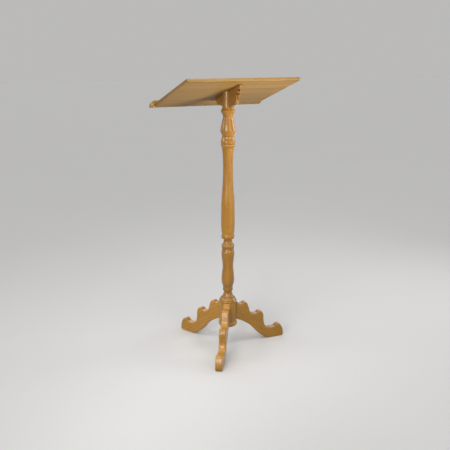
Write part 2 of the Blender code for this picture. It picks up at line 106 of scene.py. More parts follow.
# Thread and slot of the screws, and flutes of the dowels.
THREAD_PITCH = 0.0016
THREAD_DEPTH = 0.0005
THREAD_RINGS = 80
PLAIN_SHANK = 0.004
SCREW_RIM = 0.0002
SLOT_DEPTH = 0.0011
SLOT_HALF_WIDTH = 0.00045
SLOT_REACH = 0.01
FLUTES = 12
FLUTE_DEPTH = 0.07  # share of the dowel's radius
FLUTE_POWER = 3  # a higher one makes the flutes narrower
DOWELS = (1, 2, 3, 4)

# Turning stations: thousandths of the turned length, hundredths of the blank, 1 where a corner is cut.
LOWER_TURNING = (
    (0, 114, 1), (5, 116, 1), (18, 122), (30, 117, 1), (35, 112, 1), (39, 113, 1), (59, 103), (78, 88, 1),
    (82, 80, 1), (111, 67), (152, 57), (174, 61), (187, 66, 1), (190, 70, 1), (202, 70, 1), (206, 67, 1),
    (240, 67), (270, 74), (303, 83), (365, 88), (450, 82), (575, 73), (680, 81), (772, 88), (815, 84),
    (842, 77, 1), (849, 75, 1), (852, 82, 1), (870, 83, 1), (876, 80, 1), (882, 84, 1), (897, 87),
    (916, 82), (929, 74), (944, 64), (965, 59), (1000, 56, 1),
)
UPPER_TURNING = (
    (0, 62, 1), (7, 79), (13, 87), (18, 88, 1), (20, 84, 1), (22, 88, 1), (32, 86), (45, 83), (66, 88),
    (120, 92), (270, 90), (345, 83), (440, 71), (550, 66), (650, 70), (711, 80, 1), (714, 85, 1), (722, 91),
    (730, 93), (737, 91, 1), (740, 88, 1), (743, 92, 1), (755, 97), (763, 95), (773, 88), (785, 82),
    (795, 80, 1), (799, 76, 1), (803, 80, 1), (815, 90), (825, 97), (835, 100), (858, 95), (880, 88),
    (910, 76), (938, 66), (952, 71, 1), (956, 75, 1), (966, 86), (976, 92), (986, 88), (993, 80),
    (1000, 77, 1),
)

# Leg outline: share of the reach, share of the height, degrees of the way that the saw runs there.
LEG_OUTLINE = (
    (0.212, 0.904, 0), (0.253, 0.918, 36), (0.294, 0.934, -8), (0.334, 0.880, -66), (0.365, 0.758, -76),
    (0.399, 0.663, -42), (0.461, 0.629, 0), (0.522, 0.650, 40), (0.567, 0.672, -5), (0.614, 0.618, -62),
    (0.628, 0.528, -90), (0.638, 0.379, -78), (0.689, 0.271, -32), (0.765, 0.241, 0), (0.853, 0.262, 38),
    (0.908, 0.300, -6), (0.973, 0.217, -66), (1.000, 0.063, -90), (0.969, 0.000, 180), (0.744, 0.000, 180),
    (0.601, 0.086, 143), (0.444, 0.293, 129), (0.290, 0.469, 148),
)
LEG_TOP_WAY = math.radians(-42.0)  # the saw's way where it leaves the drum
LEG_FOOT_WAY = math.radians(163.0)  # and where it comes back to it
SAW_BEND = 0.37  # share of the way to the next point that the saw's pull reaches

# Wing corners past the tip: share of the reach, share of the head's height, degrees of the arc after it.
WING_UP_OUTLINE = (
    (0.87, 1.29, -168), (0.80, 1.17, 140), (0.78, 1.04, -168), (0.75, 0.90, 14), (0.67, 0.29, -27),
)
WING_DOWN_OUTLINE = ((0.91, 0.36, -155), (0.87, 0.13, -18))
WING_TIP_ARC = math.radians(87.0)

# Darkening in hollows: stain and painted shade in the turnings' hollows, painted shade only in the wings' notches.
HOLLOW_STAIN_AND_SHADE = 0.55  # how much stain and painted shade the hollows of a turning are given
HOLLOW_REACH = 0.0014
NOTCH_SWEEP = math.radians(120.0)  # sawn hollows that turn further than this get painted shade
NOTCH_REACH = 1.5  # radii of a notch from its middle to where the painted shade ends
NOTCH_FADE = 0.4  # radii over which it fades
FLANK_FACING = 0.5  # faces that face aside more than this are flanks, which get none

# How the pieces lay in their logs, each placed there by its seed. A tone above 0 is lighter; the drum's and the
# legs' tones are partly painted light and shade.
LOG_SHIFT = (0.02, 0.02, 3.0)
SEEDS = {
    "column_lower": 1, "column_upper": 2, "base_cap": 3, "head_block": 4, "legs": 10, "wing_high": 14,
    "wing_low": 15, "staves": 20, "book_ledge": 30, "wing_dowels": 40, "ledge_dowels": 50,
}
LEG_GRAIN_FALL = math.radians(-120.0)
WING_GRAIN_FALL = math.radians(-70.0)
DRUM_TONES = (-0.6, -1.6)  # at the top of the drum and up the vase: painted shade, the vase darker where less light falls on it
SHAFT_TONE = -0.65
CAP_TONE = 0.2
# The legs' tones are partly painted light and shade: the back leg lighter and the left leg darker, as light falls
# on them.
LEG_TONES = {"front": 0.4, "left": -0.5, "back": 1.2}
HEAD_TONE = -0.7
WING_TONE = -0.6
STAVE_TONES = ((0.8, -0.3), (-0.2, 0.7), (-0.3, 0.3), (-0.7, -0.1), (-0.9, -0.3))  # at the low and the high edge; darker towards the board's low edge
LEDGE_TONES = (0.1, 0.1)

# Figure of the wood: swells a metre across, across and along the grain.
WANDER_SWELLS = (7.0, 7.0, 1.3)
RING_SWELLS = (30.0, 30.0, 1.5)
FIBRE_SWELLS = (1000.0, 1000.0, 14.0)
STREAK_SWELLS = (150.0, 150.0, 1.6)
BAND_SWELLS = (42.0, 42.0, 0.8)
PORE_SWELLS = (560.0, 560.0, 36.0)
CLOUD_SWELLS = (11.0, 11.0, 3.5)
WANDER_REACH = (0.02, 0.02, 0.0)
PITH_AWAY = (0.075, 0.041, 0.0)

# Tints of each wood: its early wood, its late wood and the stain that its pores, ends and hollows take up.
HONEY_TURNED = ((0.545, 0.25, 0.021, 1.0), (0.375, 0.147, 0.008, 1.0), (0.14, 0.045, 0.004, 1.0))
HONEY_SAWN = ((0.52, 0.25, 0.026, 1.0), (0.34, 0.145, 0.010, 1.0), (0.13, 0.043, 0.004, 1.0))
HONEY_BOARD = ((0.56, 0.33, 0.104, 1.0), (0.36, 0.19, 0.05, 1.0), (0.15, 0.065, 0.01, 1.0))
BARE_DOWEL = ((0.6, 0.42, 0.24, 1.0), (0.48, 0.31, 0.15, 1.0), (0.3, 0.17, 0.07, 1.0))
STEEL_TINT = (0.52, 0.5, 0.47, 1.0)
STEEL_SWELLS = (600.0, 600.0, 2400.0)

# Where the photograph was taken from: its picture is square, and lengths in it are in pixels.
IMAGE_SIZE = 450
FOCAL_LENGTH = 620
CAMERA_ANGLE = math.radians(68.0)
CAMERA_DISTANCE = 2.773
CAMERA_HEIGHT = 1.331
CAMERA_PITCH = math.radians(14.84)
CAMERA_YAW = math.radians(0.28)
SENSOR = 36.0

# The pale room.
ROOM_LIGHT = (0.23, 0.233, 0.24, 1.0)
FLOOR_BOUNCE = (0.05, 0.05, 0.05, 1.0)
FLOOR_TINTS = ((0.77, 0.76, 0.745, 1.0), (0.79, 0.78, 0.765, 1.0))
FLOOR_SWELLS = (1.5, 1.5, 1.5)
FLOOR_REACH = 40.0
BACKDROP = (0.495, 0.491, 0.486, 1.0)


def mount(name):
    """Place and outward direction of one of the record's faces."""
    found = next(m for m in RECORD["mounts"] if m["name"] == name)
    return Vector(found["pos_m"]), Vector(found["axis"])


def desk_axes():
    """Axes of the board (across it, up its slope, square to it) and of the head, both from the swivel."""
    _, square = mount("reading_face")
    across = Vector((-square.y, square.x, 0)).normalized()
    swivel = Matrix((across, Vector((0, 0, 1)).cross(across), Vector((0, 0, 1)))).transposed().to_4x4()
    swivel.translation = frame["joints"][0]["pos_m"]
    slope = Matrix((across, square.cross(across), square)).transposed().to_4x4()
    slope.translation = swivel.translation
    return slope, swivel


def spots_in(data, axes):
    """Places of a mesh's vertices, measured along the given axes."""
    inward = axes.inverted()
    return np.array([inward @ v.co for v in data.vertices])


def box_in(node, axes):
    """Lowest and highest corner of a node, measured along the given axes."""
    spots = spots_in(frame["nodes"][node].data, axes)
    return Vector(spots.min(0)), Vector(spots.max(0))


SLOPE, SWIVEL = desk_axes()
COLUMN_TOP = SWIVEL.translation.z
NECK_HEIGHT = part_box("column_lower")[1].z
DRUM_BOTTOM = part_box("column_lower")[0].z
DRUM_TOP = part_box("leg_left")[1].z + CLEARANCE
DRUM_FLAT = math.sqrt(DRUM_RADIUS ** 2 - (LEG_THICKNESS / 2 + CLEARANCE) ** 2)
HEAD_FLAT = math.sqrt(HEAD_RADIUS ** 2 - (WING_THICKNESS / 2 + CLEARANCE) ** 2)
WING_ROOT = HEAD_FLAT + CLEARANCE
BOARD_UNDER = box_in("stave_1", SLOPE)[0].z
DESK_PITCH = math.acos(mount("reading_face")[1].z)
HEAD_HEIGHT = BOARD_UNDER / math.cos(DESK_PITCH)


# Outlines and profiles.
def arc(start, end, sweep):
    """Points after start on an arc to end that turns through sweep; a positive one bulges to the left."""
    dx, dy = end[0] - start[0], end[1] - start[1]
    half = sweep / 2
    if not half:
        return [end]
    radius = 1 / (2 * math.sin(half))
    steps = max(2, round(abs(sweep) / ARC_STEP))
    points = []
    for step in range(1, steps + 1):
        angle = half * (2 * step / steps - 1)
        ahead = 1 / 2 + radius * math.sin(angle)
        aside = radius * (math.cos(angle) - math.cos(half))
        points.append((start[0] + dx * ahead - dy * aside, start[1] + dy * ahead + dx * aside))
    return points


def outline(corners):
    """Closed outline through corners (y, z, sweep of the arc after it), its outside on the left."""
    path = []
    for here, there in zip(corners, corners[1:] + corners[:1]):
        path.extend(arc(here[:2], there[:2], here[2]))
    return path


def scrolled(marks):
    """Outline through marks (y, z, way the saw runs there), closed by a straight line to the first."""
    path = [marks[0][:2]]
    for (y, z, leave), (next_y, next_z, arrive) in zip(marks, marks[1:]):
        start, end = Vector((y, z)), Vector((next_y, next_z))
        chord = math.atan2(next_z - z, next_y - y)
        turn = sum(abs(math.remainder(way - chord, math.tau)) for way in (leave, arrive))
        pull = SAW_BEND * (end - start).length
        ahead = start + pull * Vector((math.cos(leave), math.sin(leave)))
        back = end - pull * Vector((math.cos(arrive), math.sin(arrive)))
        steps = max(1, round(turn / ARC_STEP))
        path.extend(tuple(p) for p in interpolate_bezier(start, ahead, back, end, steps + 1)[1:])
    return path


def step_towards(start, end, distance, most=1.0):
    """The point that lies a distance from start on the way to end, or at most that share of the way."""
    share = min(most, distance / math.dist(start, end))
    return tuple(a + (b - a) * share for a, b in zip(start, end))


def rounded(corners):
    """Closed outline through square corners (y, z, radius), each rounded by its radius."""
    path = []
    for before, here, after in zip(corners[-1:] + corners[:-1], corners, corners[1:] + corners[:1]):
        ends = [step_towards(here[:2], other[:2], here[2]) for other in (before, after)]
        path.extend([ends[0]] + arc(*ends, math.radians(90)))
    return path


def inset(path, distance):
    """The outline moved inwards, square to its edges."""
    moved = []
    for before, here, after in zip(path[-1:] + path[:-1], path, path[1:] + path[:1]):
        a = math.atan2(here[1] - before[1], here[0] - before[0])
        b = math.atan2(after[1] - here[1], after[0] - here[0])
        turn = math.remainder(b - a, math.tau) / 2
        shift = distance / max(MITRE_LEAST, math.cos(turn))
        moved.append((here[0] + shift * math.sin(a + turn), here[1] - shift * math.cos(a + turn)))
    return moved


def soften(path, reach):
    """The outline with its sawn points rubbed round over a reach to either side."""
    sharp = []
    for before, here, after in zip(path[-1:] + path[:-1], path, path[1:] + path[:1]):
        a = math.atan2(here[1] - before[1], here[0] - before[0])
        b = math.atan2(after[1] - here[1], after[0] - here[0])
        short = min(math.dist(before, here), math.dist(here, after)) < reach
        if short and math.remainder(a - b, math.tau) > SHARP_ANGLE:
            sharp.append(here)
    kept = [p for p in path if p in sharp or all(math.dist(p, s) > reach for s in sharp)]
    soft = []
    for before, here, after in zip(kept[-1:] + kept[:-1], kept, kept[1:] + kept[:1]):
        if here not in sharp:
            soft.append(here)
            continue
        ends = [Vector(step_towards(here, other, reach)) for other in (before, after)]
        pulls = [end.lerp(Vector(here), 2 / 3) for end in ends]
        soft.extend(tuple(p) for p in interpolate_bezier(ends[0], *pulls, ends[1], SOFT_POINTS))
    return soft


def smooth_slopes(stations):
    """Slope at every station, so that the curve through them never overshoots one."""
    secants = [(b[1] - a[1]) / (b[0] - a[0]) for a, b in zip(stations, stations[1:])]
    slopes = []
    for left, right in zip(secants, secants[1:]):
        slopes.append(2 * left * right / (left + right) if left * right > 0 else 0.0)
    return secants[:1] + slopes + secants[-1:]


def curve_steps(start, end, leave, arrive):
    """Profile points after start on a cubic from start to end with the given slopes."""
    span = end[0] - start[0]
    steps = max(3, round(span / PROFILE_STEP))
    points = []
    for step in range(1, steps + 1):
        t = step / steps
        rise = (1 + 2 * t) * (1 - t) ** 2 * start[1] + t * t * (3 - 2 * t) * end[1]
        lean = t * (1 - t) ** 2 * leave - t * t * (1 - t) * arrive
        points.append((rise + span * lean, start[0] + t * span))
    return points


def turned(stations, bottom, top):
    """Profile (radius, height) of a turning through its stations, with its corners as they were cut."""
    length = (top - bottom) / 1000
    points = [(bottom + s[0] * length, s[1] * BLANK_RADIUS / 100) for s in stations]
    corners = [i for i, s in enumerate(stations) if len(s) > 2]
    profile = [(points[0][1], points[0][0])]
    for first, last in zip(corners, corners[1:]):
        run = points[first:last + 1]
        slopes = smooth_slopes(run)
        for i in range(len(run) - 1):
            profile.extend(curve_steps(run[i], run[i + 1], slopes[i], slopes[i + 1]))
    return profile


def bends(profile):
    """Angle that a profile turns through at each of its points, positive where it hollows in."""
    angles = [math.atan2(b[1] - a[1], b[0] - a[0]) for a, b in zip(profile, profile[1:])]
    inner = [math.remainder(a - b, math.tau) for a, b in zip(angles, angles[1:])]
    return [0.0] + inner + [0.0]


def eased(profile):
    """The profile with its sharp corners rubbed down to small rounds."""
    soft = profile[:1]
    for before, here, after, bend in zip(profile, profile[1:], profile[2:], bends(profile)[1:]):
        if abs(bend) < SHARP_ANGLE / 2:
            soft.append(here)
            continue
        ends = [step_towards(here, other, TURNED_EASE, TURNED_EASE_MOST) for other in (before, after)]
        middle = tuple((a + b + 2 * c) / 4 for a, b, c in zip(*ends, here))
        soft.extend((ends[0], middle, ends[1]))
    return soft + profile[-1:]


# Meshes.
def new_piece(name, vertices, faces, place=Matrix()):
    """A mesh object with its vertices put in the frame by place and its faces turned outwards."""
    data = bpy.data.meshes.new(name)
    data.from_pydata([place @ Vector(v) for v in vertices], [], faces)
    mesh = bmesh.new()
    mesh.from_mesh(data)
    bmesh.ops.recalc_face_normals(mesh, faces=mesh.faces)
    mesh.to_mesh(data)
    mesh.free()
    piece = bpy.data.objects.new(name, data)
    bpy.context.scene.collection.objects.link(piece)
    return piece


def lathe(name, profile, place=Matrix(), sides=TURNED_SIDES, dent=None):
    """Turns a profile (radius, height) round local Z; dent takes a depth off at an angle and height."""
    vertices = []
    rings = []
    for radius, height in profile:
        count = sides if radius > 0 else 1
        rings.append(range(len(vertices), len(vertices) + count))
        for i in range(count):
            angle = math.tau * i / sides
            r = radius - dent(angle, height) if dent and radius > 0 else radius
            vertices.append((r * math.cos(angle), r * math.sin(angle), height))
    faces = []
    for low, high in zip(rings, rings[1:]):
        for i in range(sides):
            j = (i + 1) % sides
            face = (low[i % len(low)], low[j % len(low)], high[j % len(high)], high[i % len(high)])
            faces.append(tuple(dict.fromkeys(face)))
    return new_piece(name, vertices, faces, place)


def drill(place, radius, bottom, top, sides):
    """Cutter for a plain round hole."""
    return lathe("drill", [(0, bottom), (radius, bottom), (radius, top), (0, top)], place, sides)


def slab(name, path, width, ease, place=Matrix()):
    """An outline in Y and Z given a width along X, its edges rounded over."""
    half = width / 2
    turns = [math.radians(90) * i / EASE_STEPS for i in range(EASE_STEPS + 1)]
    layers = [(half - ease + ease * math.sin(a), ease - ease * math.cos(a)) for a in turns]
    layers = [(-x, drop) for x, drop in reversed(layers)] + layers
    count = len(path)
    vertices = [(x, y, z) for x, drop in layers for y, z in inset(path, drop)]
    faces = [range(count), range(len(vertices) - count, len(vertices))]
    for ring in range(len(layers) - 1):
        for i in range(count):
            j = (i + 1) % count
            low, high = ring * count, (ring + 1) * count
            faces.append((low + i, low + j, high + j, high + i))
    return new_piece(name, vertices, [tuple(f) for f in faces], place)


def prism(name, plan, bottom, top, place=Matrix()):
    """An upright prism on a plan outline in X and Y; bottom and top give a height at each of its points."""
    count = len(plan)
    vertices = [(x, y, bottom(x, y)) for x, y in plan] + [(x, y, top(x, y)) for x, y in plan]
    faces = [tuple(range(count)), tuple(range(count, 2 * count))]
    for i in range(count):
        j = (i + 1) % count
        faces.append((i, j, count + j, count + i))
    return new_piece(name, vertices, faces, place)


def post(name, plan, bottom, top, place):
    """A square-ended upright prism."""
    return prism(name, plan, lambda x, y: bottom, lambda x, y: top, place)


def work(piece, tool, operation="DIFFERENCE"):
    """Cuts the tool out of the piece, or joins it on, and takes the tool away."""
    change = piece.modifiers.new("work", "BOOLEAN")
    change.operation = operation
    change.object = tool
    ready = piece.evaluated_get(bpy.context.evaluated_depsgraph_get())
    old = piece.data
    piece.data = bpy.data.meshes.new_from_object(ready)
    piece.modifiers.clear()
    bpy.data.meshes.remove(old)
    bpy.data.objects.remove(tool)


def weld(piece):
    """Joins a ring's last round to its first."""
    mesh = bmesh.new()
    mesh.from_mesh(piece.data)
    bmesh.ops.remove_doubles(mesh, verts=mesh.verts, dist=CLEARANCE / 100)
    bmesh.ops.recalc_face_normals(mesh, faces=mesh.faces)
    mesh.to_mesh(piece.data)
    mesh.free()


def shade(piece):
    """Smooth shading that keeps cut edges crisp and broad faces flat."""
    piece.data.shade_smooth()
    piece.data.set_sharp_from_angle(angle=SHARP_ANGLE)
    flat = piece.modifiers.new("flat_faces", "WEIGHTED_NORMAL")
    flat.keep_sharp = True


# Wood marks that the finishes read from each piece.
def mark(piece, name, kind, domain, values):
    """Writes a mark on the points or corners of a piece."""
    made = piece.data.attributes.new(name, kind, domain)
    field = "vector" if kind == "FLOAT_VECTOR" else "value"
    made.data.foreach_set(field, np.asarray(values, np.float32).ravel())


def facing(piece, axes):
    """Which way a piece faces at each corner of its mesh, measured along the given axes."""
    normals = np.empty(len(piece.data.loops) * 3, np.float32)
    piece.data.corner_normals.foreach_get("vector", normals)
    return normals.reshape(-1, 3) @ np.array(axes.to_3x3())


def grow(piece, axes, seed, tone=0.0, hollow_stain_and_shade_heights=None):
    """Marks where the piece lay in its log, which ran along local Z of axes, its end grain, its tone, and the
    stain and painted shade of its hollows.
    """
    spots = spots_in(piece.data, Matrix())
    offset = np.random.default_rng(seed).uniform(-1.0, 1.0, 3) * LOG_SHIFT
    mark(piece, "grain", "FLOAT_VECTOR", "POINT", spots @ np.array(axes.to_3x3()) + offset)
    mark(piece, "endgrain", "FLOAT", "CORNER", np.abs(facing(piece, axes)[:, 2]))
    mark(piece, "tone", "FLOAT", "POINT", np.full(len(spots), tone))
    # Stain and painted shade in the hollows of a turning, 0 where there are none.
    held = np.zeros(len(spots))
    if hollow_stain_and_shade_heights:
        heights, depths = zip(*sorted(hollow_stain_and_shade_heights))
        held = np.interp(spots[:, 2], heights, depths)
    mark(piece, "hollow_stain_and_shade", "FLOAT", "POINT", held)


def hollow_stain_and_shade_along(profile):
    """Heights along a turning with how much stain and painted shade its sharp hollows are given there."""
    cut = [(p[1], bend) for p, bend in zip(profile, bends(profile)) if bend > SHARP_ANGLE / 2]
    heights = np.arange(profile[0][1], profile[-1][1], HOLLOW_REACH / 3)
    held = sum(bend * np.exp(-((heights - height) / HOLLOW_REACH) ** 2) for height, bend in cut)
    return list(zip(heights.tolist(), (HOLLOW_STAIN_AND_SHADE * np.clip(held, 0, 1)).tolist()))


def finished(piece, node, material):
    """Gives a piece its finish, puts it on the body of the node it stands for, and hides that node."""
    piece.data.materials.clear()
    piece.data.materials.append(material)
    bodies = RECORD["behaviour"]["bodies"]
    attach(piece, next(b for b, members in bodies.items() if node in members))
    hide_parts(node)


# Shaders.
class Wire:
    """A shader socket. Sums on it are worked out by Math nodes."""

    def __init__(self, tree, socket=None):
        self.tree = tree
        self.socket = socket

    def node(self, kind, settings, sockets, out=0):
        """Adds a node: its settings first, then its sockets' values or links. Gives one of its outputs."""
        made = self.tree.nodes.new(kind)
        for name, value in settings.items():
            setattr(made, name, value)
        for name, value in sockets.items():
            if isinstance(value, Wire):
                self.tree.links.new(value.socket, made.inputs[name])
            else:
                made.inputs[name].default_value = value
        return Wire(self.tree, made.outputs[out])

    def feed(self, socket):
        """Links this wire to a socket of a shader."""
        self.tree.links.new(self.socket, socket)

    def maths(self, operation, *values):
        """Numbers worked out by a Math node."""
        return self.node("ShaderNodeMath", {"operation": operation}, dict(enumerate(values)))

    def vector(self, operation, *values, out=0):
        """Vectors worked out by a Vector Math node."""
        return self.node("ShaderNodeVectorMath", {"operation": operation}, dict(enumerate(values)), out)

    def __add__(self, other):
        return self.maths("ADD", self, other)

    def __sub__(self, other):
        return self.maths("SUBTRACT", self, other)

    def __rsub__(self, other):
        return self.maths("SUBTRACT", other, self)

    def __mul__(self, other):
        return self.maths("MULTIPLY", self, other)

    def __truediv__(self, other):
        return self.maths("DIVIDE", self, other)

    __radd__ = __add__
    __rmul__ = __mul__

    def mark(self, name, out="Fac"):
        """One of the marks on the piece, 0 where it has none."""
        return self.node("ShaderNodeAttribute", {"attribute_name": name}, {}, out)

    def noise(self, stretch, detail=2.0, out="Fac"):
        """Noise with so many swells a metre along each axis of this vector."""
        place = self.vector("MULTIPLY", self, stretch)
        return self.node("ShaderNodeTexNoise", {}, {"Vector": place, "Scale": 1.0, "Detail": detail}, out)

    def smooth(self, low, high):
        """0 under low, 1 over high and an even swell between."""
        ends = {"Value": self, "From Min": low, "From Max": high}
        return self.node("ShaderNodeMapRange", {"interpolation_type": "SMOOTHSTEP"}, ends)

    def blend(self, first, second):
        """Colour from first to second by this share."""
        return self.node("ShaderNodeMix", {"data_type": "RGBA"}, {0: self, 6: first, 7: second}, 2)

    def shaded(self, level):
        """This colour made lighter or darker by a level."""
        settings = {"data_type": "RGBA", "blend_type": "MULTIPLY"}
        return self.node("ShaderNodeMix", settings, {0: 1.0, 6: self, 7: level}, 2)


def new_material(name, constants):
    """A material with its shader's constant values set, and a wire to build on."""
    made = bpy.data.materials.new(name)
    made.use_nodes = True
    surface = made.node_tree.nodes["Principled BSDF"]
    for socket, value in constants.items():
        surface.inputs[socket].default_value = value
    return made, Wire(made.node_tree), surface.inputs


def wood(name, tints, ring_width, figure, roughness, coat, haze, thirst):
    """Lacquered wood: growth rings round a pith, fibres, pores, darker end grain, and hollows darkened by stain
    and painted shade.
    """
    early, late, stain = tints
    constants = {"Specular IOR Level": 0.2, "Coat Roughness": haze, "Coat IOR": 1.5}
    made, wire, surface = new_material(name, constants)
    spot = wire.mark("grain", "Vector")
    bare = wire.mark("bare")
    hollow_stain_and_shade = wire.mark("hollow_stain_and_shade")
    # Rings round a pith, wandering a little, each year's late wood as dark as its weather made it.
    wander = wire.vector("SUBTRACT", spot.noise(WANDER_SWELLS, out="Color"), (0.5, 0.5, 0.5))
    lying = wire.vector("ADD", spot, wire.vector("MULTIPLY", wander, WANDER_REACH))
    lying = wire.vector("ADD", lying, PITH_AWAY)
    radius = wire.vector("LENGTH", wire.vector("MULTIPLY", lying, (1.0, 1.0, 0.0)), out="Value")
    age = radius / ring_width + 1.4 * spot.noise(RING_SWELLS)
    year = wire.maths("FRACT", age)
    wet = wire.node("ShaderNodeTexWhiteNoise", {"noise_dimensions": "1D"}, {"W": wire.maths("FLOOR", age)})
    latewood = year.smooth(0.2, 0.86) * (1 - year.smooth(0.9, 1.0)) * (0.3 + 0.9 * wet)
    # Figure along the grain.
    fibre = spot.noise(FIBRE_SWELLS, detail=3.0)
    streak = spot.noise(STREAK_SWELLS, detail=3.0)
    band = spot.noise(BAND_SWELLS)
    pores = spot.noise(PORE_SWELLS, detail=1.0).smooth(0.6, 0.72)
    cloud = spot.noise(CLOUD_SWELLS)
    # Tint from early to late wood, stained in pores and ends, darkened in hollows by stain and painted shade, then
    # lighter or darker by the piece's tone, which is partly painted light and shade.
    depth = figure * latewood + 0.6 * streak.smooth(0.3, 0.75) + 0.65 * (band - 0.5) + 0.3 * (fibre - 0.5)
    tint = depth.smooth(-0.05, 1.05).blend(early, late)
    tint = (0.4 * pores).blend(tint, stain)
    tint = (thirst * wire.mark("endgrain").smooth(0.6, 1.0)).blend(tint, stain)
    # Stain and painted shade in the hollows; in the wings' notches it is painted shade only.
    tint = (0.9 * hollow_stain_and_shade).blend(tint, stain)
    tint = tint.shaded(0.88 + 0.24 * cloud + 0.16 * wire.mark("tone"))
    # Lacquer, thin where the wood is left bare and nearly none in the hollows, so that their painted shade shows
    # no reflection, over fibres that can just be felt.
    rough = roughness + 0.18 * bare + 0.16 * (cloud - 0.5) + 0.1 * (fibre - 0.5)
    height = 0.6 * fibre + 0.5 * figure * latewood - 0.5 * pores
    bump = wire.node("ShaderNodeBump", {}, {"Strength": 0.2, "Distance": 0.0004, "Height": height})
    lacquer = coat * (1 - 0.85 * bare) * (1 - 0.9 * hollow_stain_and_shade)
    tint.feed(surface["Base Color"])
    rough.feed(surface["Roughness"])
    lacquer.feed(surface["Coat Weight"])
    bump.feed(surface["Normal"])
    return made


def steel(name):
    """Plain bright steel with turning marks and a little dullness."""
    made, wire, surface = new_material(name, {"Metallic": 1.0, "Base Color": STEEL_TINT})
    spot = wire.node("ShaderNodeTexCoord", {}, {}, "Object")
    rough = 0.3 + 0.25 * spot.noise(STEEL_SWELLS)
    rough.feed(surface["Roughness"])
    return made


# Pieces.
def upright(angle):
    """Axes with local Y out along an angle round the column."""
    return Matrix.Rotation(angle - math.radians(90), 4, "Z")


def leg_axes(side):
    """Axes of a leg, with local Y out along it."""
    spot, _ = mount(f"foot_{side}")
    return upright(math.atan2(spot.y, spot.x))


def dovetail(back, front, room):
    """Plan of a dovetail that widens from the drum's flat towards the column's axis."""
    spread = (TONGUE_ROOT - TONGUE_MOUTH) / TONGUE_DEPTH
    near = TONGUE_MOUTH + room - spread * (front - DRUM_FLAT)
    far = TONGUE_MOUTH + room + spread * (DRUM_FLAT - back)
    return [(-far, back), (far, back), (near, front), (-near, front)]


def lower_column(honey):
    """Drum and lower vase, with the tenon's socket, the cap screw's hole and the legs' slots."""
    pilot = SCREW_RADIUS + CLEARANCE
    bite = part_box("cap_screw")[1].z + CLEARANCE
    socket = TENON_RADIUS + CLEARANCE
    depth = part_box("column_upper")[0].z - CLEARANCE
    vase = turned(LOWER_TURNING, DRUM_TOP, NECK_HEIGHT)
    foot = [(0, bite), (pilot, bite), (pilot, DRUM_BOTTOM), (DRUM_RADIUS, DRUM_BOTTOM)]
    drum = [(DRUM_RADIUS, DRUM_TOP - TURNED_EASE), (DRUM_RADIUS - TURNED_EASE, DRUM_TOP)]
    top = [(socket, NECK_HEIGHT), (socket, depth), (0, depth)]
    piece = lathe("lower_column", foot + drum + eased(vase) + top)
    wide, deep = LEG_THICKNESS / 2 + CLEARANCE, 2 * DRUM_RADIUS
    flat = [(-wide, DRUM_FLAT), (wide, DRUM_FLAT), (wide, deep), (-wide, deep)]
    slot = dovetail(DRUM_FLAT - TONGUE_DEPTH - CLEARANCE, DRUM_FLAT + LAP, CLEARANCE)
    for side in LEG_TONES:
        axes = leg_axes(side)
        work(piece, post("flat", flat, DRUM_BOTTOM - LAP, DRUM_TOP, axes))
        work(piece, post("slot", slot, DRUM_BOTTOM - LAP, DRUM_TOP - TONGUE_STOP, axes))
    shade(piece)
    # Painted shade: the lower vase darker than the top of the drum.
    heights = spots_in(piece.data, Matrix())[:, 2]
    tone = np.interp(heights, (DRUM_TOP, DRUM_TOP + DRUM_RADIUS), DRUM_TONES)
    grow(piece, Matrix(), SEEDS["column_lower"], tone, hollow_stain_and_shade_along(vase))
    finished(piece, "column_lower", honey)


def upper_column(honey):
    """Shaft and upper vase, with a tenon below and the spigot that the head turns on above."""
    low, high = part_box("column_upper")
    foot = NECK_HEIGHT + CLEARANCE
    ease = TENON_RADIUS / 4
    shaft = turned(UPPER_TURNING, foot, COLUMN_TOP)
    rim = TENON_RADIUS - ease
    tenon = [(0, low.z), (rim, low.z), (TENON_RADIUS, low.z + ease), (TENON_RADIUS, foot)]
    spigot = [(TENON_RADIUS, COLUMN_TOP), (TENON_RADIUS, high.z - ease), (rim, high.z), (0, high.z)]
    piece = lathe("upper_column", tenon + eased(shaft) + spigot)
    shade(piece)
    grow(piece, Matrix(), SEEDS["column_upper"], SHAFT_TONE, hollow_stain_and_shade_along(shaft))
    finished(piece, "column_upper", honey)


def base_cap(honey):
    """Turned cap under the drum, with the countersunk hole for its screw."""
    low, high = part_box("base_cap")
    hole = SCREW_RADIUS + CLEARANCE
    sink = box_in("cap_screw", Matrix())[1].x + CLEARANCE
    belly = (low.z + high.z) / 2
    flat = (CAP_FLAT_RADIUS, low.z)
    under = [flat] + arc(flat, (high.x, belly), -math.radians(90))
    side = under + arc((high.x, belly), (DRUM_RADIUS, high.z), -CAP_SHOULDER)
    ring = [(hole, high.z), (hole, low.z + SCREW_HEAD_HEIGHT), (sink, low.z)] + side + [(hole, high.z)]
    piece = lathe("cap_under_drum", ring)
    weld(piece)
    shade(piece)
    grow(piece, Matrix(), SEEDS["base_cap"], CAP_TONE)
    finished(piece, "base_cap", honey)


